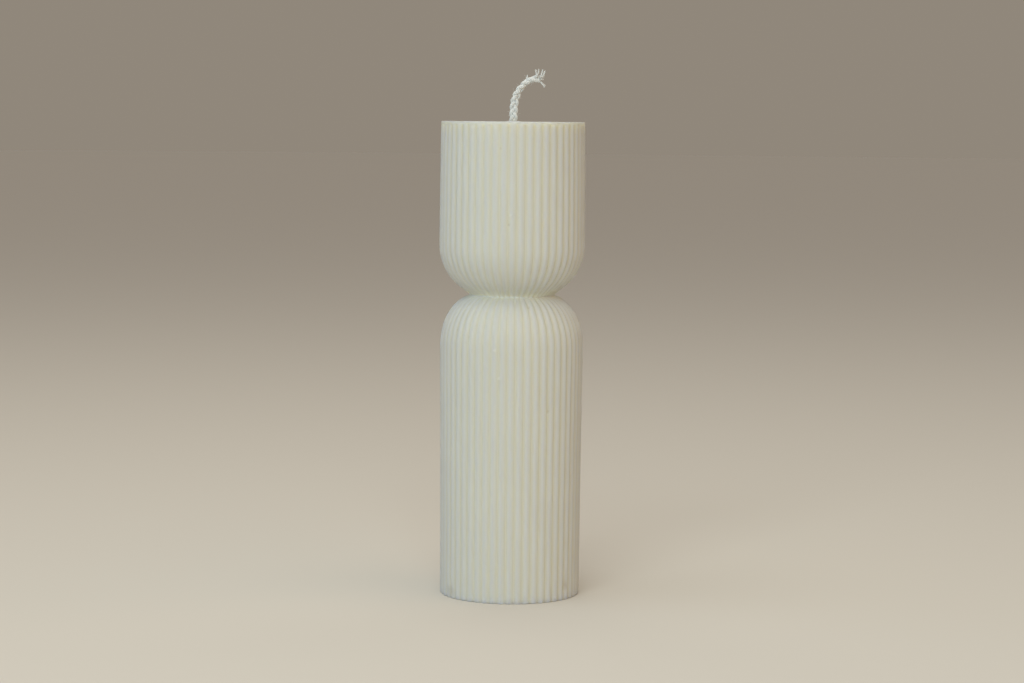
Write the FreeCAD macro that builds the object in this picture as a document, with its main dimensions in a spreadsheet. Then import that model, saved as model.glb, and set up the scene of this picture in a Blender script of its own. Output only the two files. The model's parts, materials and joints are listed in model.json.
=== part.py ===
import FreeCAD, Part
import math
import os

# Ribbed pillar candle: one cast body of wax with a waist, and a flat cotton wick of three plaited strands
# that frays into single threads at its tip. Millimetres, +Z up, origin at the centre of the base.
# The wick leans over towards +X, and its flat side faces -Y where it leaves the wax.

# The driving sizes: alias, value, what it is.
SIZES = [
    ("body_height", 164.0, "base to the flat top of the wax"),
    ("foot_radius", 24.2, "rib crests at the base"),
    ("pillar_radius", 24.75, "rib crests where the pillar's wall meets its shoulder"),
    ("shoulder_across", 12.75, "radial half axis of the shoulder's ellipse"),
    ("shoulder_drop", 17.5, "vertical half axis of the shoulder's ellipse"),
    ("neck_height", 104.2, "base to the crease of the waist"),
    ("neck_radius", 14.3, "rib crests in the crease"),
    ("flank_angle", 38.0, "rise of the cup's conical flank above the crease, in degrees"),
    ("flank_radius", 18.3, "rib crests where the flank runs into the cup's curve"),
    ("cup_radius", 25.0, "rib crests at the widest part of the cup"),
    ("rim_radius", 24.45, "rib crests below the lip"),
    ("lip_height", 1.7, "band under the top where the ribs fade out"),
    ("lip_inset", 0.35, "lip's edge inside the rib crests"),
    ("rim_round", 0.35, "rounding of the lip's edge"),
    ("rib_count", 52.0, "ribs around the body"),
    ("rib_depth", 0.6, "crest to valley at the widest part of the cup"),
    ("wick_width", 3.1, "flat wick, edge to edge"),
    ("wick_thickness", 2.2, "flat wick, face to face"),
    ("plait_pitch", 7.2, "length in which a strand crosses over and back"),
    ("strand_clearance", 0.14, "strand to strand where they cross"),
    ("wick_clearance", 0.1, "wick to the wax around it"),
    ("wick_recess", 0.4, "cut end of the wick above the base"),
    ("plait_end", 16.9, "length of plaited wick above the wax"),
    ("twist_start", 1.5, "height above the wax where the wick starts to turn edge-on"),
    ("twist_end", 11.0, "height above the wax where it has turned edge-on"),
    ("thread_diameter", 0.33, "one loose thread of the frayed tip"),
]

# Middle of the free wick above the wax: points (x, z) from the centre of the flat top, rounded at each bend.
WICK_ROUTE = [
    (0.0, 0.0),
    (0.1, 3.2),
    (0.45, 6.6),
    (1.35, 9.6),
    (3.0, 12.5),
    (5.6, 14.5),
    (8.4, 14.7),
    (10.8, 13.9),
]

# Where each strand runs on past the plait, as (x, y, z) from the centre of the flat top.
STRAND_TAILS = [
    [(8.0, -0.75, 15.7)],
    [(9.0, 0.6, 15.0)],
    [(9.2, 0.15, 13.4)],
]

# The loose threads: the strand each belongs to, its place on the strand's end as shares of the strand's
# radius, and its points (x, y, z) from the centre of the flat top.
LOOSE_THREADS = [
    (0, (-0.55, 0.0), [(7.55, -1.15, 16.9), (7.5, -1.4, 18.0)]),
    (0, (0.55, 0.0), [(8.65, -0.6, 16.9), (8.65, -0.5, 18.2)]),
    (1, (-0.55, 0.0), [(9.55, 0.5, 16.2), (9.85, 0.35, 17.4)]),
    (1, (0.28, -0.48), [(10.1, 0.4, 15.9), (10.9, 0.4, 17.1)]),
    (1, (0.28, 0.48), [(9.95, 1.0, 15.4), (10.75, 1.6, 16.0)]),
    (2, (0.0, -0.55), [(10.0, -0.2, 12.8), (10.75, -0.45, 11.7)]),
    (2, (0.0, 0.55), [(10.2, 0.55, 12.9), (11.1, 0.9, 12.3)]),
]

STRANDS = 3
STEPS_PER_PITCH = 10  # points along one plait_pitch of a strand
PLAIT_SAMPLES = 90  # points along one plait_pitch where the strands' distance is measured
ARC_SHARE = 0.45  # how much of the shorter run beside a corner its arc takes up

VECTOR = FreeCAD.Vector


def make_sheet(doc):
    """The spreadsheet that holds the driving sizes."""
    sheet = doc.addObject("Spreadsheet::Sheet", "Sizes")
    for row, (alias, value, meaning) in enumerate(SIZES, start=1):
        sheet.set(f"A{row}", meaning)
        sheet.set(f"B{row}", str(value))
        sheet.setAlias(f"B{row}", alias)
    doc.recompute()
    return sheet


def rounded_wire(points):
    """A path of straight runs through the points, each corner rounded by an arc tangent to both its runs."""
    edges = []
    start = points[0]
    for before, corner, after in zip(points, points[1:], points[2:]):
        back = before - corner
        onward = after - corner
        reach = ARC_SHARE * min(back.Length, onward.Length)
        back.normalize()
        onward.normalize()
        half_turn = (math.pi - back.getAngle(onward)) / 2
        radius = reach / math.tan(half_turn)
        first = corner + back * reach
        last = corner + onward * reach
        inward = back + onward
        inward.normalize()
        middle = corner + inward * (radius / math.cos(half_turn) - radius)
        edges.append(Part.LineSegment(start, first).toShape())
        edges.append(Part.Arc(first, middle, last).toShape())
        start = last
    edges.append(Part.LineSegment(start, points[-1]).toShape())
    return Part.Wire(edges)


def tube(path, diameter):
    """A round solid that follows a path."""
    first = path.Edges[0]
    heading = first.tangentAt(first.FirstParameter)
    circle = Part.makeCircle(diameter / 2, first.valueAt(first.FirstParameter), heading)
    return path.makePipe(Part.Face(Part.Wire([circle])))


# ---- the wax body ----


def body_profile(sizes):
    """The outline of the rib crests from the base to the lip, as edges in the XZ plane, bottom to top."""
    lip_bottom = sizes.body_height - sizes.lip_height
    centre_radius = sizes.pillar_radius - sizes.shoulder_across
    into_crease = math.acos((sizes.neck_radius - centre_radius) / sizes.shoulder_across)
    wall_top = sizes.neck_height - sizes.shoulder_drop * math.sin(into_crease)
    wall = Part.LineSegment(VECTOR(sizes.foot_radius, 0, 0), VECTOR(sizes.pillar_radius, 0, wall_top))
    centre = VECTOR(centre_radius, 0, wall_top)
    shoulder = elliptic_arc(centre, sizes.shoulder_across, sizes.shoulder_drop, into_crease)

    slope = math.radians(sizes.flank_angle)
    crease = VECTOR(sizes.neck_radius, 0, sizes.neck_height)
    flank_top = VECTOR(
        sizes.flank_radius, 0, crease.z + (sizes.flank_radius - crease.x) * math.tan(slope)
    )
    flank = Part.LineSegment(crease, flank_top)

    # the cup's curve is tangent to the flank at its start and vertical where it reaches the widest radius
    bend = (sizes.cup_radius - sizes.flank_radius) / (1 - math.sin(slope))
    bend_centre = VECTOR(sizes.cup_radius - bend, 0, flank_top.z + bend * math.cos(slope))
    half_way = (slope - math.pi / 2) / 2
    on_bend = bend_centre + VECTOR(math.cos(half_way), 0, math.sin(half_way)) * bend
    widest = VECTOR(sizes.cup_radius, 0, bend_centre.z)
    curve = Part.Arc(flank_top, on_bend, widest)

    # the cup's wall starts vertical and leans in to the rim on a long arc
    rise = lip_bottom - widest.z
    lean = sizes.cup_radius - sizes.rim_radius
    wall_arc = (rise**2 + lean**2) / (2 * lean)
    half_rise = math.asin(rise / wall_arc) / 2
    on_wall = VECTOR(
        sizes.cup_radius - wall_arc * (1 - math.cos(half_rise)), 0, widest.z + wall_arc * math.sin(half_rise)
    )
    cup_wall = Part.Arc(widest, on_wall, VECTOR(sizes.rim_radius, 0, lip_bottom))
    return [edge.toShape() for edge in (wall, shoulder, flank, curve, cup_wall)]


def elliptic_arc(centre, across, up, last_angle):
    """The part of an upright ellipse between its outermost point and last_angle."""
    if up > across:
        ellipse = Part.Ellipse(centre + VECTOR(0, 0, up), centre + VECTOR(across, 0, 0), centre)
    else:
        ellipse = Part.Ellipse(centre + VECTOR(across, 0, 0), centre + VECTOR(0, 0, up), centre)
    outermost = centre + VECTOR(across, 0, 0)
    innermost = centre + VECTOR(across * math.cos(last_angle), 0, up * math.sin(last_angle))
    ends = sorted([ellipse.parameter(outermost), ellipse.parameter(innermost)])
    return Part.ArcOfEllipse(ellipse, *ends)


def rib_section(sizes):
    """One rib of unit crest radius for each place around the body: a convex arc from valley to valley."""
    count = int(round(sizes.rib_count))
    step = 2 * math.pi / count
    valley = 1 - sizes.rib_depth / sizes.cup_radius
    ribs = []
    for index in range(count):
        middle = index * step
        corners = [
            VECTOR(valley * math.cos(middle - step / 2), valley * math.sin(middle - step / 2), 0),
            VECTOR(math.cos(middle), math.sin(middle), 0),
            VECTOR(valley * math.cos(middle + step / 2), valley * math.sin(middle + step / 2), 0),
        ]
        ribs.append(Part.Arc(*corners).toShape())
    return ribs


def round_section(sizes):
    """The unit circle, cut into one arc for each rib."""
    count = int(round(sizes.rib_count))
    step = 2 * math.pi / count
    arcs = []
    for index in range(count):
        angles = [(index + share) * step for share in (-0.5, 0.0, 0.5)]
        arcs.append(Part.Arc(*[VECTOR(math.cos(angle), math.sin(angle), 0) for angle in angles]).toShape())
    return arcs


def swept_face(profile_edge, section_edge):
    """The face on which every height holds the section at the profile's radius there.

    Both edges are splines once converted, so the face is one too: each of its poles is a pole of the
    section, scaled by the radius of a pole of the profile, at that pole's height, and the weights multiply.
    """
    around = section_edge.Curve.toBSpline(section_edge.FirstParameter, section_edge.LastParameter)
    along = profile_edge.Curve.toBSpline(profile_edge.FirstParameter, profile_edge.LastParameter)
    poles = [[VECTOR(a.x * b.x, a.y * b.x, b.z) for b in along.getPoles()] for a in around.getPoles()]
    weights = [[a * b for b in along.getWeights()] for a in around.getWeights()]
    surface = Part.BSplineSurface()
    surface.buildFromPolesMultsKnots(
        poles,
        around.getMultiplicities(),
        along.getMultiplicities(),
        around.getKnots(),
        along.getKnots(),
        False,
        False,
        around.Degree,
        along.Degree,
        weights,
    )
    return surface.toShape()


def scaled_edge(section_edge, radius, height):
    """An edge of a unit section at its radius and height."""
    matrix = FreeCAD.Matrix()
    matrix.scale(radius, radius, radius)
    matrix.move(VECTOR(0, 0, height))
    return section_edge.copy().transformShape(matrix, True)


def make_ribbed_column(doc, sheet):
    """The solid wax: ribs that follow the profile and narrow with its radius, a lip and a flat top."""
    ribs = rib_section(sheet)
    circle = round_section(sheet)
    profile = body_profile(sheet)
    faces = [swept_face(edge, rib) for edge in profile for rib in ribs]

    lip_bottom = sheet.body_height - sheet.lip_height
    lip_radius = sheet.rim_radius - sheet.lip_inset
    round_bottom = sheet.body_height - sheet.rim_round
    for rib, arc in zip(ribs, circle):
        lower = scaled_edge(rib, sheet.rim_radius, lip_bottom)
        upper = scaled_edge(arc, lip_radius, round_bottom)
        faces.append(Part.makeRuledSurface(lower, upper))

    centre = VECTOR(lip_radius - sheet.rim_round, 0, round_bottom)
    diagonal = sheet.rim_round * math.sqrt(0.5)
    rounding = Part.Arc(
        VECTOR(lip_radius, 0, round_bottom),
        centre + VECTOR(diagonal, 0, diagonal),
        VECTOR(centre.x, 0, sheet.body_height),
    ).toShape()
    faces += [swept_face(rounding, arc) for arc in circle]

    base = Part.Wire([scaled_edge(rib, sheet.foot_radius, 0) for rib in ribs])
    top = Part.Wire([scaled_edge(arc, centre.x, sheet.body_height) for arc in circle])
    faces += [Part.Face(base), Part.Face(top)]

    shell = Part.makeShell(faces)
    shell.sewShape()
    solid = Part.makeSolid(shell if shell.ShapeType == "Shell" else shell.Shells[0])
    if solid.Volume < 0:
        solid.reverse()
    column = doc.addObject("Part::Feature", "RibbedColumn")
    column.Shape = solid
    return column


def make_wax_body(doc, sheet):
    """The cast wax with the channel that its wick fills, open at the base and at the top."""
    column = make_ribbed_column(doc, sheet)
    channel = doc.addObject("Part::Cylinder", "WickChannel")
    channel.setExpression("Radius", "Sizes.wick_width / 2 + Sizes.wick_clearance")
    channel.setExpression("Height", "Sizes.body_height")
    body = doc.addObject("Part::Cut", "WaxBody")
    body.Base = column
    body.Tool = channel
    body.Label = "wax_body"
    return body


# ---- the wick ----


def wick_middle(sizes):
    """The wick's middle line, straight up through the wax and then along WICK_ROUTE."""
    top = sizes.body_height
    points = [VECTOR(0, 0, sizes.wick_recess)]
    points += [VECTOR(x, 0, top + z) for x, z in WICK_ROUTE]
    return rounded_wire(points)


def point_along(path, length):
    """The point and the direction of a path at a length from its start."""
    for edge in path.Edges:
        if length <= edge.Length or edge is path.Edges[-1]:
            break
        length -= edge.Length
    parameter = edge.getParameterByLength(min(length, edge.Length))
    return edge.valueAt(parameter), edge.tangentAt(parameter)


def smooth_step(value, start, end):
    """0 before start, 1 after end, and an even S between."""
    share = min(max((value - start) / (end - start), 0.0), 1.0)
    return share * share * (3 - 2 * share)


def plait_offset(sizes, diameter, turn):
    """How far across and out of the wick's middle a strand lies at a turn of its plait.

    It swings from edge to edge once each turn, and from face to face twice, so that it goes over one
    neighbour and under the other.
    """
    swing = (sizes.wick_width - diameter) / 2
    lift = (sizes.wick_thickness - diameter) / 2
    return swing * math.sin(turn), lift * math.sin(2 * turn)


def strand_distance(sizes, diameter):
    """The least distance between the middles of two strands of a straight plait."""
    turns = [2 * math.pi * step / PLAIT_SAMPLES for step in range(-PLAIT_SAMPLES // 2, PLAIT_SAMPLES // 2)]
    rise = sizes.plait_pitch / (2 * math.pi)
    ahead = 2 * math.pi / STRANDS
    one = [VECTOR(*plait_offset(sizes, diameter, turn), turn * rise) for turn in turns]
    other = [VECTOR(*plait_offset(sizes, diameter, turn + ahead), turn * rise) for turn in turns]
    return min(point.distanceToPoint(near) for point in one for near in other)


def strand_diameter(sizes):
    """The thickest strand that the wick's width, thickness and pitch leave room for, found by halving."""
    thin = 0.0
    thick = sizes.wick_thickness
    while thick - thin > 0.001:
        middle = (thin + thick) / 2
        if strand_distance(sizes, middle) > middle + sizes.strand_clearance:
            thin = middle
        else:
            thick = middle
    return thin


def strand_points(sizes, path, index, diameter):
    """The points of one strand of the plait, a third of a turn behind the strand before it."""
    in_wax = sizes.body_height - sizes.wick_recess
    length = in_wax + sizes.plait_end
    steps = int(length / sizes.plait_pitch * STEPS_PER_PITCH)
    points = []
    for step in range(steps + 1):
        along = length * step / steps
        middle, heading = point_along(path, along)
        turn = 2 * math.pi * (along / sizes.plait_pitch + index / STRANDS)
        twist = math.pi / 2 * smooth_step(along - in_wax, sizes.twist_start, sizes.twist_end)
        face = VECTOR(0, 1, 0)
        edge = face.cross(heading)
        across = edge * math.cos(twist) + face * math.sin(twist)
        out = face * math.cos(twist) - edge * math.sin(twist)
        sideways, outwards = plait_offset(sizes, diameter, turn)
        points.append(middle + across * sideways + out * outwards)
    return points


def add_solid(doc, label, shape):
    """A document object that holds one finished solid."""
    piece = doc.addObject("Part::Feature", label)
    piece.Shape = shape
    piece.Label = label
    return piece


def make_wick(doc, sheet):
    """The three plaited strands and the loose threads at their ends."""
    middle = wick_middle(sheet)
    thickness = strand_diameter(sheet)
    print("strand diameter", round(thickness, 3), "mm")
    top = VECTOR(0, 0, sheet.body_height)
    pieces = []
    paths = []
    for index in range(STRANDS):
        points = strand_points(sheet, middle, index, thickness)
        points += [top + VECTOR(*tail) for tail in STRAND_TAILS[index]]
        paths.append(rounded_wire(points))
        print("strand", index + 1, "is", round(paths[-1].Length, 1), "mm long")
        pieces.append(add_solid(doc, f"wick_strand_{index + 1}", tube(paths[-1], thickness)))

    for number, (index, place, route) in enumerate(LOOSE_THREADS, start=1):
        last = paths[index].Edges[-1]
        end = last.valueAt(last.LastParameter)
        heading = last.tangentAt(last.LastParameter)
        sideways = VECTOR(0, 1, 0).cross(heading)
        sideways.normalize()
        upward = heading.cross(sideways)
        radius = thickness / 2
        start = end + sideways * (place[0] * radius) + upward * (place[1] * radius)
        points = [start, start + heading * sheet.thread_diameter]
        points += [top + VECTOR(*point) for point in route]
        thread = tube(rounded_wire(points), sheet.thread_diameter)
        pieces.append(add_solid(doc, f"wick_thread_{number}", thread))
    return pieces


# ---- the document ----


def check_document(doc, pieces):
    """Stop before anything is written if an object failed or a piece isn't one valid solid."""
    for thing in doc.Objects:
        if "Invalid" in thing.State or "Error" in thing.State:
            raise RuntimeError(f"{thing.Label} failed: {thing.State}")
    for piece in pieces:
        if piece.Shape.isNull() or not piece.Shape.isValid():
            raise RuntimeError(f"{piece.Label} has no valid shape")
        if len(piece.Shape.Solids) != 1:
            raise RuntimeError(f"{piece.Label} has {len(piece.Shape.Solids)} solids")


def main():
    doc = FreeCAD.newDocument("RibbedCandle")
    sheet = make_sheet(doc)
    pieces = [make_wax_body(doc, sheet)]
    pieces += make_wick(doc, sheet)
    doc.recompute()
    check_document(doc, pieces)
    os.makedirs("parts", exist_ok=True)
    for piece in pieces:
        piece.Shape.exportStep(f"parts/{piece.Label}.step")
        print(piece.Label, "volume", round(piece.Shape.Volume, 1), "mm3, faces", len(piece.Shape.Faces))


main()
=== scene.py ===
"""Ribbed pillar candle with a waist and a plaited cotton wick that frays at its tip."""

import json
import math

import bpy
import numpy as np
from mathutils import Matrix, Vector

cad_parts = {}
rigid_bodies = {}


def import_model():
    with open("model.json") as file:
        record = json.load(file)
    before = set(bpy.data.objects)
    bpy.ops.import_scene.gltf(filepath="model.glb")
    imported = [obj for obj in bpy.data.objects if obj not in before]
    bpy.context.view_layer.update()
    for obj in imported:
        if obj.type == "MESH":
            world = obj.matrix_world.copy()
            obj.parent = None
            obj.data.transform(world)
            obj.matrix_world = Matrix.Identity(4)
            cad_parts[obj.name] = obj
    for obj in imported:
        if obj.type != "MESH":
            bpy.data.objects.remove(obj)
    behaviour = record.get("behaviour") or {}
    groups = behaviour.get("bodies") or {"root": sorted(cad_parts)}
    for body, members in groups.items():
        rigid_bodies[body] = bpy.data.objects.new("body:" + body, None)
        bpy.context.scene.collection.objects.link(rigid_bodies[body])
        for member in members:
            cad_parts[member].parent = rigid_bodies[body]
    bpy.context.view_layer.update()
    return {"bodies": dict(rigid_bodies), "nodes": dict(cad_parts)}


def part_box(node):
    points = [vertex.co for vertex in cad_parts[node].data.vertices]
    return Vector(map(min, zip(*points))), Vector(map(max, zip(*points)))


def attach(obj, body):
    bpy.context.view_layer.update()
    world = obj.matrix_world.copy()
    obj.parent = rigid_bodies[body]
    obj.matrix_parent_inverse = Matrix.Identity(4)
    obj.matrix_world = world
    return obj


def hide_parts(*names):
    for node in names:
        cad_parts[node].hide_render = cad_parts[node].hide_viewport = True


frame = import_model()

bl_info = {
    "name": "Ribbed Pillar Candle",
    "version": (1, 0, 0),
    "blender": (4, 5, 0),
    "location": "View3D > Sidebar > Candle",
    "description": "Builds a ribbed pillar candle with a plaited wick around its packed frame",
    "category": "Object",
}

WAX_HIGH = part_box("wax_body")[1]
STRAND_NODES = sorted(name for name in frame["nodes"] if name.startswith("wick_strand_"))
THREAD_NODES = sorted(name for name in frame["nodes"] if name.startswith("wick_thread_"))
BODY = sorted(frame["bodies"])[0]
MM = 0.001
TURN = 2 * math.pi
FRONT = -math.pi / 2  # the angle around the axis that faces the viewer

# Middle of the free wick, as (x, y, z) in millimetres from the centre of the flat top.
WICK_ROUTE = [
    (0.0, 0.0, 0.0),
    (0.05, 0.0, 3.2),
    (0.25, 0.0, 6.6),
    (1.15, 0.0, 9.6),
    (3.0, 0.0, 12.5),
    (5.6, 0.0, 14.5),
    (8.4, 0.0, 14.7),
    (10.8, 0.0, 13.9),
]
# Where each strand runs on past the plait.
STRAND_TAILS = [
    (8.0, -0.75, 15.7),
    (9.0, 0.6, 15.0),
    (9.0, 0.15, 13.9),
]
# The loose threads: the strand each grows from, and its points past the strand's end.
LOOSE_THREADS = [
    (0, [(7.65, -1.15, 16.9), (7.6, -1.4, 18.0)]),
    (0, [(8.6, -0.6, 16.9), (8.55, -0.5, 18.2)]),
    (1, [(9.65, 0.5, 16.4), (10.05, 0.35, 18.15)]),
    (1, [(10.4, 0.4, 16.0), (10.8, 0.4, 17.8)]),
    (1, [(9.95, 1.0, 15.4), (10.75, 1.6, 16.0)]),
    (2, [(10.0, -0.2, 12.8), (10.75, -0.45, 11.7)]),
    (2, [(10.2, 0.55, 12.9), (11.1, 0.9, 12.3)]),
]
# Small marks that the casting left: degrees round from the front, then the height, the radius and
# how far the mark stands out, in millimetres.
CASTING_MARKS = [
    (-13.5, 86.8, 0.55, 0.28),
    (-9.9, 77.3, 0.6, 0.3),
    (-1.4, 132.6, 0.5, 0.26),
    (17.6, 101.4, 0.5, -0.3),
    (31.4, 65.8, 0.55, -0.3),
    (-2.9, 129.3, 0.5, -0.28),
    (-36.6, 90.9, 0.5, -0.26),
    (-10.0, 155.0, 0.45, -0.24),
    (53.4, 4.6, 1.3, -0.35),
    (-58.0, 2.2, 2.2, -0.3),
]
MARK_ROW_GAP = 0.32 * MM  # between the extra rows of points close to each mark
MARK_FULL = 0.3 * MM  # the height or depth at which the attribute "mark" is 1 or -1

# Colours of the wax and the cotton that no setting changes, in scene-linear red, green and blue.
BLOOM_COLOUR = (0.66, 0.67, 0.62)
# painted highlight: a paler colour on the small bumps of the casting
BUMP_HIGHLIGHT_COLOUR = (0.72, 0.73, 0.70)
# painted shade: a browner colour in the small pits of the casting
PIT_SHADE_COLOUR = (0.40, 0.36, 0.30)
COTTON_SHADE = (0.64, 0.64, 0.60)
# How much of each shows at most.
BLOOM_SHARE = 0.16
# share of the painted highlight on the bumps
BUMP_HIGHLIGHT_SHARE = 0.3
# share of the painted shade in the pits
PIT_SHADE_SHARE = 0.35
COTTON_SHADE_SHARE = 0.35
# Scales of the noises, as blotches per metre.
CLOUD_SCALE = 55.0
GRAIN_SCALE = 1400.0
FIBRE_SCALE = 2600.0
STRAND_SCALE = 700.0

# Rows of points along each stretch of the wax outline, and columns across each rib.
FOOT_ROWS = 6
WALL_ROWS = 12
SHOULDER_ROWS = 30
FLANK_SHARES = (0.04, 0.1, 0.22, 0.4, 0.6, 0.8)
BEND_ROWS = 18
CUP_ROWS = 9
LIP_ROWS = 7
EDGE_ROWS = 5
RIB_COLUMNS = 12
VALLEY_CROWDING = 0.16  # how much closer the columns are in the valleys
# Rings across the base and the top, as shares of the radius of their edge.
BASE_RINGS = np.array([0.3, 0.6, 0.85])
TOP_RINGS = np.array([0.94, 0.8, 0.55, 0.3, 0.16, 0.1, 0.075])
BASE_HOLLOW = 0.1 * MM  # the middle of the base above its edge
RADIAL = np.array([1.0, 0.0])  # straight out from the axis, as (radius, height)

IN_WAX_POINTS = 12  # control points of the wick from its cut end to the flat top
STEPS_PER_PITCH = 12  # control points of a strand in each turn of the plait
YARN_SIDES = 8
FIBRE_SIDES = 6
FUZZ_SIDES = 4
THREAD_FIBRES = 7
THREAD_THICKNESS = (1.0, 1.0, 0.75)  # of each strand's loose threads, as a share
PALM_FIBRES = 40
HAIR_RADII = np.array([0.022, 0.022, 0.02, 0.016, 0.008]) * MM
PALM_RADII = np.array([0.09, 0.1, 0.1, 0.09, 0.07, 0.04]) * MM
# The stray tuft on the outside of the bend, in millimetres: its middle line, and how far each of
# its fibres parts from it.
STRAY_ROUTE = np.array(
    [[4.4, -0.3, 13.6], [4.5, -0.5, 14.6], [4.6, -0.55, 15.4], [4.75, -0.5, 16.1]]
)
STRAY_LEANS = (-0.28, -0.1, 0.08, 0.3)

FLOOR_RINGS = np.array([0.001, 1.0, 4.0, 12.0])
FLOOR_SIDES = 64
LIGHT_TARGET = (0.0, 0.0, 0.09)
# The wide fills: name, where the light comes from, the setting of its strength, and its tint.
FILLS = (
    ("cool_fill", (-1.2, -0.4, 0.4), "cool_strength", (0.35, 0.60, 1.00)),
    ("warm_fill", (1.1, -0.5, 0.4), "warm_strength", (1.00, 0.45, 0.12)),
    ("back_fill", (0.1, 1.2, 0.7), "back_strength", (1.0, 0.97, 0.9)),
)


# ---- sizes and colours ----


def length(name, description, millimetres):
    """A length property, given in millimetres and kept in metres."""
    return bpy.props.FloatProperty(
        name=name,
        description=description,
        default=millimetres * MM,
        min=0.0,
        precision=5,
        unit="LENGTH",
    )


def colour(name, description, red, green, blue):
    """A colour property in scene-linear red, green and blue."""
    return bpy.props.FloatVectorProperty(
        name=name,
        description=description,
        default=(red, green, blue),
        size=3,
        min=0.0,
        max=1.0,
        subtype="COLOR",
    )


class CandleWax(bpy.types.PropertyGroup):
    height: length("Height", "Base to the flat top", WAX_HIGH.z / MM)
    cup_radius: length(
        "Cup radius", "Rib crests at the widest part of the cup", WAX_HIGH.x / MM + 0.15
    )
    foot_radius: length("Foot radius", "Rib crests at the base", 24.2)
    foot_round: length("Foot rounding", "Rounding of the edge at the base", 0.25)
    pillar_radius: length("Pillar radius", "Rib crests where the wall meets the shoulder", 24.75)
    shoulder_across: length("Shoulder across", "Radial half axis of the shoulder", 12.75)
    shoulder_drop: length("Shoulder drop", "Vertical half axis of the shoulder", 17.5)
    neck_height: length("Neck height", "Base to the crease of the waist", 104.2)
    neck_radius: length("Neck radius", "Rib crests in the crease", 14.3)
    flank_radius: length("Flank radius", "Where the cup's straight flank ends", 18.3)
    rim_radius: length("Rim radius", "Rib crests below the lip", 24.85)
    lip_height: length("Lip height", "Band under the top where the ribs fade out", 1.7)
    lip_inset: length("Lip inset", "Lip's edge inside the rib crests", 0.1)
    rim_round: length("Rim rounding", "Rounding of the lip's edge", 0.3)
    rib_depth: length("Rib depth", "Crest to valley at the widest part", 0.6)
    flank_angle: bpy.props.FloatProperty(
        name="Flank angle",
        description="Rise of the cup's flank",
        default=math.radians(38.0),
        subtype="ANGLE",
    )
    rib_count: bpy.props.IntProperty(
        name="Ribs", description="Ribs around the body", default=52, min=3
    )
    crest_colour: colour("Crest colour", "Wax on the rib crests", 0.56, 0.575, 0.56)
    # painted shade: the valleys between the ribs are painted warmer than the crests
    valley_shade_colour: colour("Valley colour", "Wax in the valleys between ribs", 0.557, 0.551, 0.472)


class CandleWick(bpy.types.PropertyGroup):
    width: length("Width", "Flat wick, edge to edge", 3.1)
    thickness: length("Thickness", "Flat wick, face to face", 2.2)
    plait_pitch: length("Plait pitch", "Length in which a strand crosses over and back", 7.2)
    strand_diameter: length("Strand diameter", "One strand of the plait", 1.3)
    recess: length("Recess", "Cut end of the wick above the base", 0.4)
    plait_end: length("Plait end", "Length of plaited wick above the wax", 16.9)
    twist_start: length("Twist start", "Height where the wick starts to turn edge-on", 4.0)
    twist_end: length("Twist end", "Height where it has turned edge-on", 15.0)
    yarn_radius: length("Yarn radius", "One yarn of a strand", 0.26)
    yarn_twist: length("Yarn twist", "Length of one turn of the yarns in a strand", 5.0)
    fibre_radius: length("Fibre radius", "One fine fibre of a loose thread", 0.11)
    yarn_count: bpy.props.IntProperty(
        name="Yarns", description="Yarns in each strand", default=6, min=1
    )
    fuzz_count: bpy.props.IntProperty(
        name="Fuzz", description="Fine fibres that stand out", default=150, min=0
    )
    cotton_colour: colour("Cotton colour", "Wick cotton", 0.74, 0.76, 0.75)
    soaked_colour: colour("Soaked colour", "Cotton soaked with wax", 0.66, 0.67, 0.64)


class CandleStage(bpy.types.PropertyGroup):
    camera_distance: bpy.props.FloatProperty(
        name="Camera distance",
        description="Camera to the candle's axis",
        default=0.868,
        unit="LENGTH",
    )
    camera_lens: bpy.props.FloatProperty(
        name="Lens", description="Focal length in millimetres", default=88.2
    )
    camera_pitch: bpy.props.FloatProperty(
        name="Pitch",
        description="How far the camera looks down",
        default=math.radians(5.01),
        subtype="ANGLE",
    )
    camera_roll: bpy.props.FloatProperty(
        name="Roll",
        description="How far the camera is tilted",
        default=math.radians(0.5),
        subtype="ANGLE",
    )
    floor_colour: colour("Floor colour", "Floor and backdrop", 0.66, 0.63, 0.58)
    key_power: bpy.props.FloatProperty(
        name="Key power", description="Soft light in front", default=11.1
    )
    cool_strength: bpy.props.FloatProperty(
        name="Cool fill", description="Wide light from the left", default=0.34
    )
    warm_strength: bpy.props.FloatProperty(
        name="Warm fill", description="Wide light from the right", default=0.43
    )
    back_strength: bpy.props.FloatProperty(
        name="Back fill", description="Wide light from behind", default=0.5
    )
    top_power: bpy.props.FloatProperty(
        name="Top power", description="Soft light overhead", default=5.0
    )
    world_strength: bpy.props.FloatProperty(
        name="World", description="Light from all round", default=0.29
    )


# ---- meshes ----


def add_mesh(name, vertices, quads, triangles=None):
    """A smooth mesh object at the origin from arrays of points, quads and triangles."""
    triangles = np.empty((0, 3), np.int32) if triangles is None else np.asarray(triangles, np.int32)
    quads = np.asarray(quads, np.int32).reshape(-1, 4)
    corners = np.concatenate([quads.ravel(), triangles.ravel()])
    sizes = np.concatenate([np.full(len(quads), 4), np.full(len(triangles), 3)])
    starts = np.concatenate([[0], np.cumsum(sizes)[:-1]])
    mesh = bpy.data.meshes.new(name)
    mesh.vertices.add(len(vertices))
    mesh.vertices.foreach_set("co", np.asarray(vertices, np.float32).ravel())
    mesh.loops.add(len(corners))
    mesh.loops.foreach_set("vertex_index", corners.astype(np.int32))
    mesh.polygons.add(len(sizes))
    mesh.polygons.foreach_set("loop_start", starts.astype(np.int32))
    mesh.polygons.foreach_set("loop_total", sizes.astype(np.int32))
    mesh.update(calc_edges=True)
    mesh.validate()
    mesh.shade_smooth()
    made = bpy.data.objects.new(name, mesh)
    bpy.context.scene.collection.objects.link(made)
    return made


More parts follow.
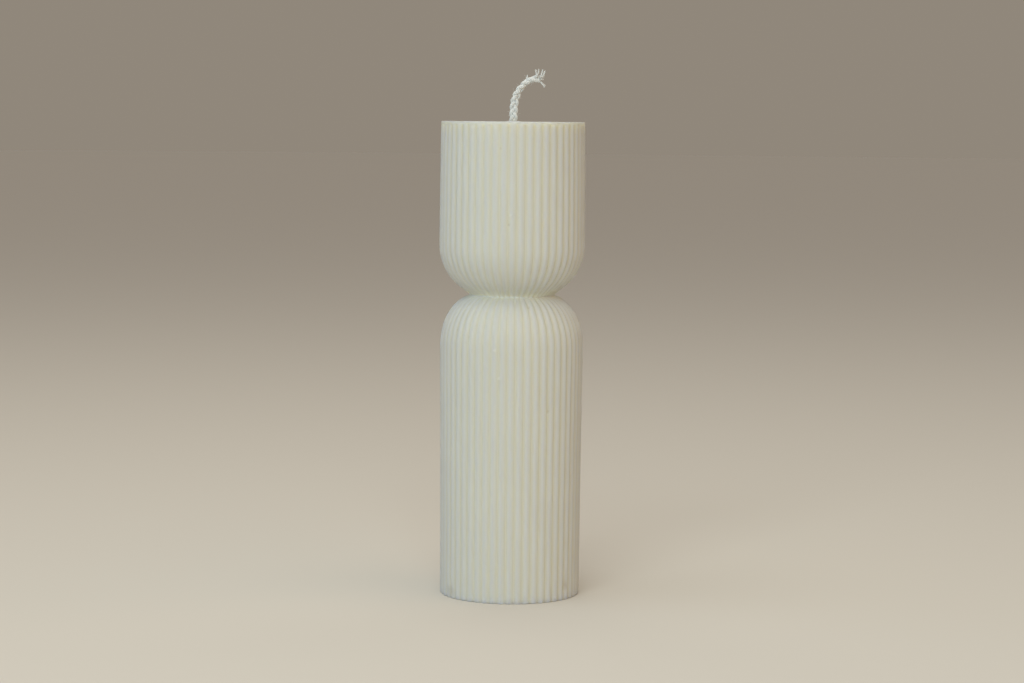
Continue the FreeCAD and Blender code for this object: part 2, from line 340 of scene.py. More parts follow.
def ring_quads(rows, columns, first=0):
    """Quads between rings of points: row by row upwards, each ring closed on itself."""
    row, column = np.meshgrid(np.arange(rows - 1), np.arange(columns), indexing="ij")
    beside = (column + 1) % columns
    lower = first + row * columns
    upper = lower + columns
    corners = [lower + column, lower + beside, upper + beside, upper + column]
    return np.stack(corners, -1).reshape(-1, 4)


def add_attribute(piece, name, values):
    """A number for each point of a mesh."""
    layer = piece.data.attributes.new(name, "FLOAT", "POINT")
    layer.data.foreach_set("value", np.asarray(values, np.float32).ravel())


def unit(vectors):
    """Vectors scaled to a length of one."""
    return vectors / np.linalg.norm(vectors, axis=-1, keepdims=True)


def smooth_step(values, start, end):
    """0 before start, 1 after end, and an even S between."""
    share = np.clip((values - start) / (end - start), 0.0, 1.0)
    return share * share * (3 - 2 * share)


# ---- shaders ----


class Link:
    """A shader socket. An expression on it adds Math nodes."""

    def __init__(self, shader, socket):
        self.shader = shader
        self.socket = socket

    def __add__(self, other):
        return self.shader.math("ADD", self, other)

    def __radd__(self, other):
        return self.shader.math("ADD", other, self)

    def __sub__(self, other):
        return self.shader.math("SUBTRACT", self, other)

    def __rsub__(self, other):
        return self.shader.math("SUBTRACT", other, self)

    def __mul__(self, other):
        return self.shader.math("MULTIPLY", self, other)

    def __rmul__(self, other):
        return self.shader.math("MULTIPLY", other, self)


class Shader:
    """The node tree of a new material or world."""

    def __init__(self, owner):
        owner.use_nodes = True
        self.owner = owner
        self.tree = owner.node_tree

    def node(self, kind, out=0, settings=None, stops=(), sockets=None):
        """Add a node: its settings, its ramp's stops, then the values or links of its sockets."""
        made = self.tree.nodes.new(kind)
        for name, value in (settings or {}).items():
            setattr(made, name, value)
        for index, (place, shade) in enumerate(stops):
            elements = made.color_ramp.elements
            element = elements[index] if index < len(elements) else elements.new(place)
            element.position = place
            element.color = shade
        for key, value in (sockets or {}).items():
            self.connect(made.inputs[key], value)
        return Link(self, made.outputs[out])

    def connect(self, target, value):
        """Give a socket a link or a value."""
        if isinstance(value, Link):
            self.tree.links.new(value.socket, target)
        else:
            target.default_value = value

    def math(self, operation, first, second):
        """A Math node of two values."""
        settings = {"operation": operation}
        return self.node("ShaderNodeMath", settings=settings, sockets={0: first, 1: second})

    def mix(self, share, first, second):
        """A colour between two colours."""
        settings = {"data_type": "RGBA", "clamp_factor": True}
        sockets = {"Factor": share, 6: opaque(first), 7: opaque(second)}
        return self.node("ShaderNodeMix", out=2, settings=settings, sockets=sockets)

    def noise(self, scale, detail=2.0, roughness=0.5):
        """Cloudy noise, 0 to 1, on the object's own coordinates; scale is blotches per metre."""
        place = self.node("ShaderNodeTexCoord", out="Object")
        sockets = {"Vector": place, "Scale": scale, "Detail": detail, "Roughness": roughness}
        return self.node("ShaderNodeTexNoise", out="Fac", sockets=sockets)

    def stepped(self, value, low, high):
        """0 below low, 1 above high, and a smooth S between."""
        settings = {"interpolation_type": "SMOOTHSTEP"}
        sockets = {"Value": value, "From Min": low, "From Max": high}
        return self.node("ShaderNodeMapRange", settings=settings, sockets=sockets)

    def attribute(self, name):
        return self.node("ShaderNodeAttribute", out="Fac", settings={"attribute_name": name})

    def bump(self, height, distance, strength=1.0):
        sockets = {"Height": height, "Distance": distance, "Strength": strength}
        return self.node("ShaderNodeBump", sockets=sockets)

    def finish(self, **sockets):
        """Set the surface's sockets, spaces written as underscores, and give the material."""
        for name, value in sockets.items():
            self.connect(self.tree.nodes["Principled BSDF"].inputs[name.replace("_", " ")], value)
        return self.owner


def opaque(value):
    """A colour with an alpha of 1; a link stays as it is."""
    return value if isinstance(value, Link) else (*value, 1.0)


def wax_material(wax):
    """Cast wax: satin and a little see-through.

    The valleys are painted warmer as painted shade, and it has a faint cloudy bloom on the
    crests. The small bumps are painted paler as a painted highlight, and the small pits browner
    as painted shade.
    """
    shader = Shader(bpy.data.materials.new("cast_wax"))
    shader.tree.nodes["Principled BSDF"].subsurface_method = "BURLEY"
    clouds = shader.noise(CLOUD_SCALE, 3.0)
    grain = shader.noise(GRAIN_SCALE, 2.0, 0.6)
    mark = shader.attribute("mark")
    depth = shader.stepped(shader.attribute("valley"), 0.15, 1.0)
    bloom = shader.stepped(clouds, 0.45, 0.75) * BLOOM_SHARE * (1 - depth)
    # painted highlight: the small bumps are made paler
    bump = shader.stepped(mark, 0.1, 0.9) * BUMP_HIGHLIGHT_SHARE
    # painted shade: the small pits are made browner
    pit = shader.stepped(0 - mark, 0.1, 0.9) * PIT_SHADE_SHARE
    # painted shade: the valleys between the ribs get a warmer colour
    shade = shader.mix(depth, tuple(wax.crest_colour), tuple(wax.valley_shade_colour))
    shade = shader.mix(bloom, shade, BLOOM_COLOUR)
    shade = shader.mix(bump, shade, BUMP_HIGHLIGHT_COLOUR)
    shade = shader.mix(pit, shade, PIT_SHADE_COLOUR)
    return shader.finish(
        Base_Color=shade,
        Roughness=0.58 + grain * 0.12,
        Normal=shader.bump(grain * 0.6 + clouds * 0.4, 0.00006, 0.6),
        Subsurface_Weight=1.0,
        Subsurface_Radius=(1.0, 0.9, 0.45),
        Subsurface_Scale=0.0048,
        IOR=1.44,
        Specular_IOR_Level=0.2,
    )


def cotton_material(wick):
    """Bleached cotton yarn: fully matt with a soft sheen, darker where it is soaked with wax."""
    shader = Shader(bpy.data.materials.new("wick_cotton"))
    soaked = shader.attribute("soaked")
    fibres = shader.noise(FIBRE_SCALE, 2.0, 0.7)
    strands = shader.stepped(shader.noise(STRAND_SCALE, 2.0), 0.3, 0.8)
    pale = shader.mix(strands * COTTON_SHADE_SHARE, tuple(wick.cotton_colour), COTTON_SHADE)
    return shader.finish(
        Base_Color=shader.mix(soaked, pale, tuple(wick.soaked_colour)),
        Roughness=0.92 - soaked * 0.4,
        Normal=shader.bump(fibres, 0.00008, 0.8),
        Subsurface_Weight=0.25,
        Subsurface_Radius=(1.0, 0.9, 0.8),
        Subsurface_Scale=0.0005,
        Sheen_Weight=0.2,
        Sheen_Roughness=0.6,
    )


# ---- the wax body ----


def quarter(centre_radius, centre_height, across, up, start, end, count):
    """Points of an upright ellipse between two angles, with their outward normals."""
    angle = np.linspace(start, end, count)
    radius = centre_radius + across * np.cos(angle)
    height = centre_height + up * np.sin(angle)
    points = np.stack([radius, height], -1)
    normals = np.stack([np.cos(angle) / across, np.sin(angle) / up], -1)
    return points, unit(normals)


def straight(start, end, shares):
    """Points of a straight stretch at shares of its length, with their outward normals."""
    start = np.array(start)
    end = np.array(end)
    points = start + (end - start) * np.asarray(shares)[:, None]
    along = (end - start) / np.linalg.norm(end - start)
    return points, np.tile([along[1], -along[0]], (len(points), 1))


def close_rows(low, high, coarse):
    """Shares between two heights: evenly spaced rows, and more close to each casting mark."""
    fine = np.arange(-3, 4) * MARK_ROW_GAP
    levels = [mark[1] * MM for mark in CASTING_MARKS]
    marks = [level + fine for level in levels if low < level < high]
    rows = np.concatenate([np.linspace(low, high, coarse), *marks])
    rows = np.unique(np.round(rows[(rows >= low) & (rows <= high)], 5))
    return (rows - low) / (high - low)


def pillar_outline(wax):
    """The pillar's crests: the rounded edge of the foot, a straight wall and the shoulder.

    The shoulder is part of an ellipse, r = centre + across cos a and z = wall's top + drop sin a,
    up to the angle a at which r is the neck's radius.
    """
    foot, _ = quarter(
        wax.foot_radius - wax.foot_round,
        wax.foot_round,
        wax.foot_round,
        wax.foot_round,
        -math.pi / 2,
        0,
        FOOT_ROWS,
    )
    centre_radius = wax.pillar_radius - wax.shoulder_across
    into_crease = math.acos((wax.neck_radius - centre_radius) / wax.shoulder_across)
    wall_top = wax.neck_height - wax.shoulder_drop * math.sin(into_crease)
    shares = close_rows(wax.foot_round, wall_top, WALL_ROWS)[1:-1]
    wall_foot = (wax.foot_radius, wax.foot_round)
    wall, wall_out = straight(wall_foot, (wax.pillar_radius, wall_top), shares)
    shoulder, shoulder_out = quarter(
        centre_radius,
        wall_top,
        wax.shoulder_across,
        wax.shoulder_drop,
        0,
        into_crease,
        SHOULDER_ROWS,
    )
    out = np.concatenate([np.tile(RADIAL, (len(foot), 1)), wall_out, shoulder_out])
    return np.concatenate([foot, wall, shoulder]), out


def cup_outline(wax):
    """The cup's crests up to the lip: a straight flank, an arc tangent to it and a leaning wall.

    The arc's radius is (cup radius - flank radius) / (1 - sin slope). The wall is an arc that
    starts upright, of radius (rise^2 + lean^2) / (2 lean).
    """
    slope = wax.flank_angle
    flank_top = wax.neck_height + (wax.flank_radius - wax.neck_radius) * math.tan(slope)
    flank, flank_out = straight(
        (wax.neck_radius, wax.neck_height), (wax.flank_radius, flank_top), FLANK_SHARES
    )
    bend = (wax.cup_radius - wax.flank_radius) / (1 - math.sin(slope))
    widest = flank_top + bend * math.cos(slope)
    curve, curve_out = quarter(
        wax.cup_radius - bend, widest, bend, bend, slope - math.pi / 2, 0, BEND_ROWS
    )
    lip_bottom = wax.height - wax.lip_height
    rise = lip_bottom - widest
    lean = wax.cup_radius - wax.rim_radius
    wall_arc = (rise**2 + lean**2) / (2 * lean)
    climb = np.arcsin(close_rows(widest, lip_bottom, CUP_ROWS)[1:] * rise / wall_arc)
    wall_out = np.stack([np.cos(climb), np.sin(climb)], -1)
    wall = np.stack(
        [wax.cup_radius - wall_arc * (1 - np.cos(climb)), widest + wall_arc * np.sin(climb)], -1
    )
    return np.concatenate([flank, curve, wall]), np.concatenate([flank_out, curve_out, wall_out])


def lip_outline(wax):
    """The lip's band and rounded edge, and how much of the ribs' depth each of their rows keeps."""
    lip_bottom = wax.height - wax.lip_height
    round_bottom = wax.height - wax.rim_round
    fade = np.linspace(0, 1, LIP_ROWS)[1:-1]
    band_radius = wax.rim_radius - wax.lip_inset * smooth_step(fade, 0.0, 1.0)
    band = np.stack([band_radius, lip_bottom + (round_bottom - lip_bottom) * fade], -1)
    edge, _ = quarter(
        wax.rim_radius - wax.lip_inset - wax.rim_round,
        round_bottom,
        wax.rim_round,
        wax.rim_round,
        0,
        math.pi / 2,
        EDGE_ROWS,
    )
    kept = 1 - smooth_step(np.concatenate([fade, np.ones(len(edge))]), 0.0, 0.9)
    return np.concatenate([band, edge]), kept


def wax_outline(wax):
    """The outline of the rib crests from the base's edge to the rim's edge.

    Gives each row's radius and height, the direction out of the surface in which its ribs stand,
    and how much of the ribs' depth it has: (radius / cup radius)^0.85, fading out on the lip.
    """
    pillar, pillar_out = pillar_outline(wax)
    cup, cup_out = cup_outline(wax)
    lip, kept = lip_outline(wax)
    points = np.concatenate([pillar, cup, lip])
    out = np.concatenate([pillar_out, cup_out, np.tile(RADIAL, (len(lip), 1))])
    depth = (points[:, 0] / wax.cup_radius) ** 0.85
    depth[-len(lip) :] *= kept
    # close to the crease the ribs of both sides turn towards the axis and meet
    near = 1 - smooth_step(np.abs(points[:, 1] - wax.neck_height), 0.0, 1.2 * MM)
    near *= points[:, 0] < wax.neck_radius + 3 * MM
    out = out * (1 - near[:, None]) + RADIAL * near[:, None]
    return points, unit(out), depth


def rib_shape(place):
    """How deep a rib lies under its crest, 0 to 1, at a place from -1 to 1 across it.

    A third of it is a round lobe, an arc of 100 degrees, and the rest a cosine wave, which rounds
    the valley that the lobes would make sharp.
    """
    edge = math.sin(math.radians(50.0))
    flat = math.sqrt(1 - edge**2)
    lobe = 1 - (np.sqrt(1 - (edge * place) ** 2) - flat) / (1 - flat)
    return lobe / 3 + (1 - np.cos(math.pi * place)) / 3


def casting_waves(angle, height):
    """How far slow waves carry the surface out of its true shape."""
    waves = np.sin(3 * angle + 31 * height) + np.sin(2 * angle - 57 * height + 1.3)
    return 0.03 * MM * waves + 0.02 * MM * np.sin(7 * angle + 140 * height + 0.4)


def casting_marks(angle, height, radius):
    """How far the small round marks stand out of the surface, each a smooth bump or pit."""
    relief = np.zeros_like(radius)
    for around, level, size, out in CASTING_MARKS:
        turn = (angle - FRONT - math.radians(around) + math.pi) % TURN - math.pi
        distance = np.hypot(turn * radius, height - level * MM)
        relief += out * MM * np.exp(-((distance / (size * MM)) ** 2))
    return relief


def top_height(wax, radius):
    """The flat top, a little dished, with the wax drawn up the wick."""
    dish = 0.12 * MM * (1 - (radius / wax.rim_radius) ** 2)
    drawn = 0.55 * MM * np.exp(-np.maximum(radius - 1.4 * MM, 0) / (0.9 * MM))
    return wax.height - dish + drawn


def relief_share(wax, height):
    """The share of the waves and marks at a height: a quarter at the base, none at the rim."""
    rising = smooth_step(height, 0.0, 1.5 * MM)
    falling = 1 - smooth_step(height, wax.height - 2 * MM, wax.height - 1 * MM)
    return np.maximum(rising * falling, 0.25 * (height < 2 * MM))


def rib_columns(wax):
    """The angle of each column of points, and its place across its rib, from -1 to 1.

    The place is t + crowding sin(pi t) for evenly spaced t.
    """
    around = np.arange(wax.rib_count * RIB_COLUMNS)
    even = (around % RIB_COLUMNS) / RIB_COLUMNS * 2 - 1
    across = even + VALLEY_CROWDING * np.sin(math.pi * even)
    return (around // RIB_COLUMNS + across / 2) / wax.rib_count * TURN, across


def build_wax(wax):
    """The cast body, closed at both ends.

    It is the crest outline turned around the axis, moved out by the casting's relief and in by
    each rib's lobe.
    """
    outline, out, depth = wax_outline(wax)
    angle, across = rib_columns(wax)
    columns = len(angle)

    lobe = rib_shape(across)[None, :] * depth[:, None]
    radius = np.repeat(outline[:, :1], columns, 1)
    height = np.repeat(outline[:, 1:], columns, 1)
    turned = np.repeat(angle[None, :], len(outline), 0)
    marks = casting_marks(turned, height, radius)
    relief = (casting_waves(turned, height) + marks) * relief_share(wax, height)
    move = relief - lobe * wax.rib_depth
    radius = radius + out[:, :1] * move
    height = np.maximum(height + out[:, 1:] * move, 0.0)

    foot = outline[0, 0]
    base_radius = BASE_RINGS * foot
    base_height = BASE_HOLLOW * (1 - base_radius / foot)
    top_radius = TOP_RINGS * outline[-1, 0]
    ends_radius = np.repeat(np.concatenate([base_radius, top_radius])[:, None], columns, 1)
    ends_height = np.repeat(
        np.concatenate([base_height, top_height(wax, top_radius)])[:, None], columns, 1
    )
    base = len(base_radius)
    radius = np.concatenate([ends_radius[:base], radius, ends_radius[base:]])
    height = np.concatenate([ends_height[:base], height, ends_height[base:]])
    rows = len(radius)

    points = np.stack([radius * np.cos(angle), radius * np.sin(angle), height], -1).reshape(-1, 3)
    poles = [(0, 0, BASE_HOLLOW), (0, 0, top_height(wax, 0.0))]
    here = np.arange(columns)
    beside = (here + 1) % columns
    last = (rows - 1) * columns
    bottom_fan = np.stack([np.full(columns, len(points)), beside, here], -1)
    top_fan = np.stack([np.full(columns, len(points) + 1), last + here, last + beside], -1)
    piece = add_mesh(
        "wax_body_cast",
        np.concatenate([points, poles]),
        ring_quads(rows, columns),
        np.concatenate([bottom_fan, top_fan]),
    )
    # these attributes mask the painted shade in the valleys and the painted highlight and painted
    # shade of the marks
    for name, values in (("valley", lobe), ("mark", marks / MARK_FULL)):
        spread = np.zeros((rows, columns))
        spread[base : base + len(outline)] = values
        add_attribute(piece, name, np.append(spread.ravel(), [0, 0]))
    piece.data.materials.append(wax_material(wax))
    return piece


# ---- the wick ----


def spline_points(points, resolution):
    """Points along the smooth NURBS spline that has the given control points."""
    curve = bpy.data.curves.new("route", "CURVE")
    curve.dimensions = "3D"
    spline = curve.splines.new("NURBS")
    spline.points.add(len(points) - 1)
    spline.points.foreach_set("co", np.column_stack([points, np.ones(len(points))]).ravel())
    spline.order_u = 3
    spline.use_endpoint_u = True
    spline.resolution_u = resolution
    holder = bpy.data.objects.new("route", curve)
    bpy.context.scene.collection.objects.link(holder)
    bpy.context.view_layer.update()
    mesh = bpy.data.meshes.new_from_object(holder)
    line = np.empty(len(mesh.vertices) * 3, np.float32)
    mesh.vertices.foreach_get("co", line)
    bpy.data.objects.remove(holder)
    bpy.data.curves.remove(curve)
    bpy.data.meshes.remove(mesh)
    return line.reshape(-1, 3).astype(float)


def evenly_spaced(line, spacing):
    """Points a fixed length apart along a line, and their lengths from its start."""
    steps = np.linalg.norm(np.diff(line, axis=0), axis=1)
    lengths = np.concatenate([[0], np.cumsum(steps)])
    at = np.linspace(0, lengths[-1], max(2, int(lengths[-1] / spacing) + 1))
    return np.stack([np.interp(at, lengths, line[:, axis]) for axis in range(3)], -1), at


def frames_along(line):
    """A line's heading at each point, and two directions square to it that keep to one side."""
    heading = unit(np.gradient(line, axis=0))
    side = np.array([0.0, 1.0, 0.0])
    first = unit(side - heading * (heading @ side)[:, None])
    return heading, first, np.cross(heading, first)


def tube_rings(line, radii, sides):
    """Circles of points around a line and square to it: place + r (first cos a + second sin a)."""
    _, first, second = frames_along(line)
    angle = (np.arange(sides) / sides * TURN)[None, :, None]
    radii = np.broadcast_to(radii, len(line))[:, None, None]
    ring = first[:, None] * np.cos(angle) + second[:, None] * np.sin(angle)
    return line[:, None] + ring * radii


def tubes(name, lines, radii, sides):
    """One mesh of tubes, each closed at both ends by a flat fan of triangles."""
    points = []
    quads = []
    triangles = []
    first = 0
    for line, radius in zip(lines, radii):
        rings = tube_rings(line, radius, sides)
        count = len(line) * sides
        points += [rings.reshape(-1, 3), line[:1], line[-1:]]
        quads.append(ring_quads(len(line), sides, first))
        here = np.arange(sides)
        beside = (here + 1) % sides
        last = first + (len(line) - 1) * sides
        tip = np.full(sides, first + count)
        triangles.append(np.stack([tip, first + beside, first + here], -1))
        triangles.append(np.stack([tip + 1, last + here, last + beside], -1))
        first += count + 2
    return add_mesh(name, np.concatenate(points), np.concatenate(quads), np.concatenate(triangles))


def above_top(wax, points):
    """Places in metres for points given in millimetres from the centre of the flat top."""
    return np.array([0.0, 0.0, wax.height]) + np.array(points) * MM


def wick_middle(wax, wick):
    """The wick's middle line from its cut end in the base to past the end of the plait."""
    in_wax = np.linspace(wick.recess, wax.height, IN_WAX_POINTS)[:-1]
    on_axis = np.zeros_like(in_wax)
    below = np.stack([on_axis, on_axis, in_wax], -1)
    control = np.concatenate([below, above_top(wax, WICK_ROUTE)])
    return evenly_spaced(spline_points(control, 12), 0.2 * MM)


def strand_line(wax, wick, index):
    """The middle of one strand, a third of a turn behind the strand before it.

    It swings from edge to edge once each turn of the plait, and from face to face twice, and the
    whole wick turns edge-on as it rises.
    """
    middle, at = wick_middle(wax, wick)
    heading = unit(np.gradient(middle, axis=0))
    in_wax = wax.height - wick.recess
    length_here = in_wax + wick.plait_end
    steps = int(length_here / wick.plait_pitch * STEPS_PER_PITCH)
    along = np.linspace(0, length_here, steps + 1)
    place = np.stack([np.interp(along, at, middle[:, axis]) for axis in range(3)], -1)
    ahead = unit(np.stack([np.interp(along, at, heading[:, axis]) for axis in range(3)], -1))
    turn = TURN * (along / wick.plait_pitch + index / 3)
    twist = math.pi / 2 * smooth_step(along - in_wax, wick.twist_start, wick.twist_end)[:, None]
    face = np.array([0.0, 1.0, 0.0])
    edge = np.cross(face, ahead)
    across = edge * np.cos(twist) + face * np.sin(twist)
    out = face * np.cos(twist) - edge * np.sin(twist)
    swing = (wick.width - wick.strand_diameter) / 2
    lift = (wick.thickness - wick.strand_diameter) / 2
    sideways = across * (swing * np.sin(turn))[:, None]
    outwards = out * (lift * np.sin(2 * turn))[:, None]
    points = place + sideways + outwards
    tail = above_top(wax, STRAND_TAILS[index])
    return spline_points(np.concatenate([points, [tail]]), 4)


def build_strand(wax, wick, index, material):
    """One strand of the plait: yarns that twist round each other along its middle line."""
    line, at = evenly_spaced(strand_line(wax, wick, index), 0.3 * MM)
    _, first, second = frames_along(line)
    lines = []
    for yarn in range(wick.yarn_count):
        angle = TURN * (at / wick.yarn_twist + yarn / wick.yarn_count)
        around = first * np.cos(angle)[:, None] + second * np.sin(angle)[:, None]
        lines.append(line + around * (wick.strand_diameter / 2 - wick.yarn_radius))
    taper = 1 - 0.5 * smooth_step(at, at[-1] - 3.0 * MM, at[-1])
    radii = [taper * wick.yarn_radius] * len(lines)
    piece = tubes(STRAND_NODES[index] + "_yarns", lines, radii, YARN_SIDES)
    mark_soaked(piece, wax)
    piece.data.materials.append(material)
    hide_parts(STRAND_NODES[index])
    return piece


def mark_soaked(piece, wax):
    """Cotton is soaked with wax up to just above the top of the candle."""
    places = np.empty(len(piece.data.vertices) * 3, np.float32)
    piece.data.vertices.foreach_get("co", places)
    above = places.reshape(-1, 3)[:, 2] - wax.height
    add_attribute(piece, "soaked", 1 - smooth_step(above, 0.4 * MM, 2.6 * MM))


def build_thread(wax, wick, number, material, random):
    """One loose thread: a few fine fibres that spread from the strand's end towards their tips.

    Each fibre winds round the thread's middle line once in 12 mm, and is cut off at a length of
    its own.
    """
    strand, route = LOOSE_THREADS[number]
    tail = np.array(STRAND_TAILS[strand])
    route = np.array(route)
    inside = tail + (tail - route[0]) * 0.35
    control = above_top(wax, np.concatenate([[inside, tail + (route[0] - tail) * 0.12], route]))
    line, at = evenly_spaced(spline_points(control, 8), 0.12 * MM)
    _, first, second = frames_along(line)
    thickness = THREAD_THICKNESS[strand]
    lines = []
    radii = []
    for fibre in range(THREAD_FIBRES):
        angle = TURN * fibre / THREAD_FIBRES + at / (1.9 * MM) + random.uniform(0, 0.6)
        spread = (0.15 + 0.07 * (at / at[-1]) ** 2 * random.uniform(0.3, 1.4)) * MM
        around = first * np.cos(angle)[:, None] + second * np.sin(angle)[:, None]
        keep = int(len(line) * random.uniform(0.86, 1.0))
        lines.append((line + around * spread[:, None])[:keep])
        radii.append(thickness * wick.fibre_radius * (1 - 0.6 * (at / at[-1])[:keep] ** 3))
    piece = tubes(THREAD_NODES[number] + "_fibres", lines, radii, FIBRE_SIDES)
    mark_soaked(piece, wax)
    piece.data.materials.append(material)
    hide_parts(THREAD_NODES[number])
    return piece


def plait_hairs(wax, wick, random):
    """Short bent hairs that stand out all along the free plait: their lines and radii.

    Each is start + away (0.6 mm + 0.8 reach t) + 0.35 reach t^2 drift, with t from 0 to 1.
    """
    middle, at = wick_middle(wax, wick)
    in_wax = wax.height - wick.recess
    share = np.linspace(0, 1, len(HAIR_RADII))[:, None]
    lines = []
    for _ in range(wick.fuzz_count):
        along = in_wax + random.uniform(1.5, 17.0) * MM
        start = np.array([np.interp(along, at, middle[:, axis]) for axis in range(3)])
        away = unit(random.normal(size=3))
        drift = unit(random.normal(size=3))
        reach = random.uniform(1.3, 2.1) * MM
        stem = start + away * (0.6 * MM + reach * share * 0.8)
        lines.append(stem + drift * reach * 0.35 * share**2)
    return lines, [HAIR_RADII] * len(lines)


def palm_fibres(wax, random):
    """Fibres between the strands' ends and the loose threads, bowed up: lines and radii."""
    share = np.linspace(0, 1, len(PALM_RADII))[:, None]
    bow = np.array([0.0, 0.0, 0.3]) * np.sin(share * math.pi)
    lines = []
    for _ in range(PALM_FIBRES):
        tail = np.array([7.2, 0.0, 14.6]) + random.uniform(-0.5, 0.5, 3)
        tip = np.array([9.6, 0.1, 15.0]) + random.uniform(-1, 1, 3) * [0.9, 0.6, 0.8]
        lines.append(above_top(wax, tail + (tip - tail) * share + bow))
    return lines, [PALM_RADII] * len(lines)


def stray_tuft(wax):
    """A small tuft on the outside of the bend, of fibres that cross and meet at its tip."""
    lines = []
    for lean in STRAY_LEANS:
        parted = STRAY_ROUTE + [[-lean, 0, 0], [lean, 0, 0], [lean / 2, 0, 0], [0, 0, 0]]
        lines.append(evenly_spaced(spline_points(above_top(wax, parted), 8), 0.3 * MM)[0])
    return lines, [0.1 * MM] * len(lines)


def build_fuzz(wax, wick, material, random):
    """The finest fibres of the wick: hairs along the plait, the frayed palm and one stray tuft."""
    parts = (plait_hairs(wax, wick, random), palm_fibres(wax, random), stray_tuft(wax))
    lines = [line for part in parts for line in part[0]]
    radii = [radius for part in parts for radius in part[1]]
    piece = tubes("wick_fuzz", lines, radii, FUZZ_SIDES)
    mark_soaked(piece, wax)
    piece.data.materials.append(material)
    return piece


# ---- the stage ----


def build_floor(stage):
    """A pale round floor: rings of points around the candle."""
    angle = np.arange(FLOOR_SIDES) / FLOOR_SIDES * TURN
    radius = FLOOR_RINGS[:, None]
    height = np.zeros((len(FLOOR_RINGS), FLOOR_SIDES))
    points = np.stack([radius * np.cos(angle), radius * np.sin(angle), height], -1)
    quads = ring_quads(len(FLOOR_RINGS), FLOOR_SIDES)[:, ::-1]
    floor = add_mesh("floor", points.reshape(-1, 3), quads)
    shader = Shader(bpy.data.materials.new("studio_floor"))
    floor_colour = opaque(tuple(stage.floor_colour))
    material = shader.finish(Base_Color=floor_colour, Roughness=1.0, Specular_IOR_Level=0.0)
    floor.data.materials.append(material)


def add_lamp(name, place, target, size, power, tint):
    """A square soft light that points at a target."""
    light = bpy.data.lights.new(name, "AREA")
    light.shape = "SQUARE"
    light.size = size
    light.energy = power
    light.color = tint
    lamp = bpy.data.objects.new(name, light)
    aim = (Vector(target) - Vector(place)).to_track_quat("-Z", "Y")
    lamp.matrix_world = Matrix.LocRotScale(Vector(place), aim, None)
    bpy.context.scene.collection.objects.link(lamp)


def add_wide_fill(name, source, strength, tint):
    """A wide even light from one side, and the light that it gives a level floor, as a colour."""
    light = bpy.data.lights.new(name, "SUN")
    light.angle = math.radians(80)
    light.energy = strength
    light.color = tint
    lamp = bpy.data.objects.new(name, light)
    lamp.rotation_euler = Vector(source).to_track_quat("Z", "Y").to_euler()
    bpy.context.scene.collection.objects.link(lamp)
    return np.array(tint) * strength * Vector(source).normalized().z / math.pi


def build_lights(scene, stage):
    """A key in front, a light overhead, wide fills from the sides and behind, and a surround."""
    key_tint = (0.89, 0.99, 1.00)
    top_tint = (1.00, 0.95, 0.82)
    world_tint = np.array([1.00, 0.93, 0.80])
    add_lamp("key", (-0.25, -1.3, 0.75), LIGHT_TARGET, 1.0, stage.key_power, key_tint)
    add_lamp("top", (-0.1, -0.1, 1.2), LIGHT_TARGET, 0.9, stage.top_power, top_tint)
    floor_light = np.zeros(3)
    for name, source, setting, tint in FILLS:
        floor_light = floor_light + add_wide_fill(name, source, getattr(stage, setting), tint)
    # the camera sees the surround in the colour of the far floor, so no horizon shows
    far_floor = (world_tint * stage.world_strength + floor_light) * stage.floor_colour
    shader = Shader(bpy.data.worlds.new("studio"))
    light = shader.node(
        "ShaderNodeBackground",
        sockets={"Color": opaque(world_tint), "Strength": stage.world_strength},
    )
    seen = shader.node(
        "ShaderNodeBackground", sockets={"Color": opaque(far_floor), "Strength": 1.0}
    )
    camera = shader.node("ShaderNodeLightPath", out="Is Camera Ray")
    surround = shader.node("ShaderNodeMixShader", sockets={0: camera, 1: light, 2: seen})
    shader.connect(shader.tree.nodes["World Output"].inputs["Surface"], surround)
    scene.world = shader.owner


def build_camera(scene, stage):
    """A camera level with the candle's flat top that looks slightly down."""
    camera = bpy.data.cameras.new("camera")
    camera.lens = stage.camera_lens
    camera.sensor_width = 36.0
    camera.clip_start = 0.01
    camera.dof.use_dof = False
    holder = bpy.data.objects.new("camera", camera)
    place = Matrix.Translation((0.0002, -stage.camera_distance, WAX_HIGH.z))
    look = Matrix.Rotation(math.pi / 2 - stage.camera_pitch, 4, "X")
    roll = Matrix.Rotation(stage.camera_roll, 4, "Z")
    holder.matrix_world = place @ look @ roll
    scene.collection.objects.link(holder)
    scene.camera = holder


# ---- operators ----


class CANDLE_OT_wax_body(bpy.types.Operator):
    """Build the cast wax body"""

    bl_idname = "candle.wax_body"
    bl_label = "Wax Body"

    def execute(self, context):
        piece = build_wax(context.scene.candle_wax)
        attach(piece, BODY)
        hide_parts("wax_body")
        return {"FINISHED"}


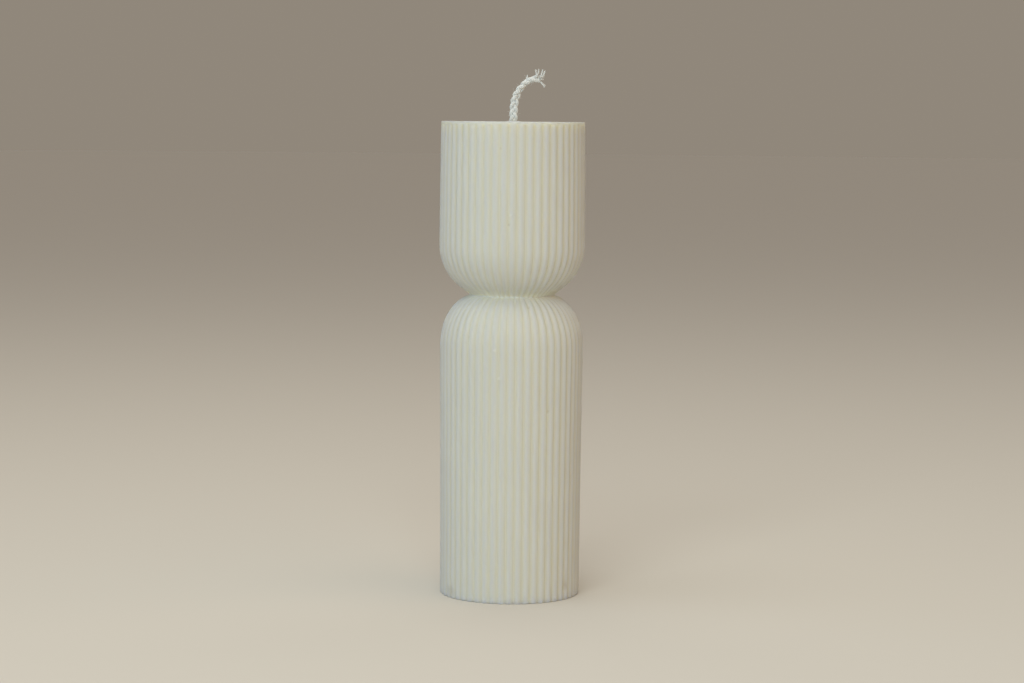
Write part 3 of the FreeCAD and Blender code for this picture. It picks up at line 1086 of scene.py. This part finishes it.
class CANDLE_OT_wick(bpy.types.Operator):
    """Build the plaited strands of the wick, its loose threads and its fuzz"""

    bl_idname = "candle.wick"
    bl_label = "Wick"

    def execute(self, context):
        wax = context.scene.candle_wax
        wick = context.scene.candle_wick
        random = np.random.default_rng(7)
        material = cotton_material(wick)
        pieces = [build_strand(wax, wick, index, material) for index in range(len(STRAND_NODES))]
        pieces += [
            build_thread(wax, wick, number, material, random)
            for number in range(len(THREAD_NODES))
        ]
        pieces.append(build_fuzz(wax, wick, material, random))
        for piece in pieces:
            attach(piece, BODY)
        return {"FINISHED"}


class CANDLE_OT_stage(bpy.types.Operator):
    """Set up the floor, the lights and the camera"""

    bl_idname = "candle.stage"
    bl_label = "Stage"

    def execute(self, context):
        stage = context.scene.candle_stage
        build_floor(stage)
        build_lights(context.scene, stage)
        build_camera(context.scene, stage)
        context.scene.view_settings.view_transform = "Standard"
        return {"FINISHED"}


class CANDLE_PT_panel(bpy.types.Panel):
    """Lists the candle's pieces and the stage"""

    bl_label = "Candle"
    bl_space_type = "VIEW_3D"
    bl_region_type = "UI"
    bl_category = "Candle"

    def draw(self, context):
        for operator in OPERATORS:
            self.layout.operator(operator.bl_idname)
        scene = context.scene
        for settings in (scene.candle_wax, scene.candle_wick, scene.candle_stage):
            box = self.layout.box()
            for name in settings.__annotations__:
                box.prop(settings, name)


OPERATORS = (CANDLE_OT_wax_body, CANDLE_OT_wick, CANDLE_OT_stage)
SETTINGS = (
    ("candle_wax", CandleWax),
    ("candle_wick", CandleWick),
    ("candle_stage", CandleStage),
)


def register():
    """Add the settings, the operators and the panel to Blender."""
    for name, group in SETTINGS:
        bpy.utils.register_class(group)
        setattr(bpy.types.Scene, name, bpy.props.PointerProperty(type=group))
    for made in (*OPERATORS, CANDLE_PT_panel):
        bpy.utils.register_class(made)


def unregister():
    """Take the panel, the operators and the settings out of Blender."""
    for made in reversed((*OPERATORS, CANDLE_PT_panel)):
        bpy.utils.unregister_class(made)
    for name, group in reversed(SETTINGS):
        delattr(bpy.types.Scene, name)
        bpy.utils.unregister_class(group)


def main():
    """Build every piece and the stage."""
    register()
    for operator in OPERATORS:
        group, name = operator.bl_idname.split(".")
        getattr(getattr(bpy.ops, group), name)()


if __name__ == "__main__":
    main()
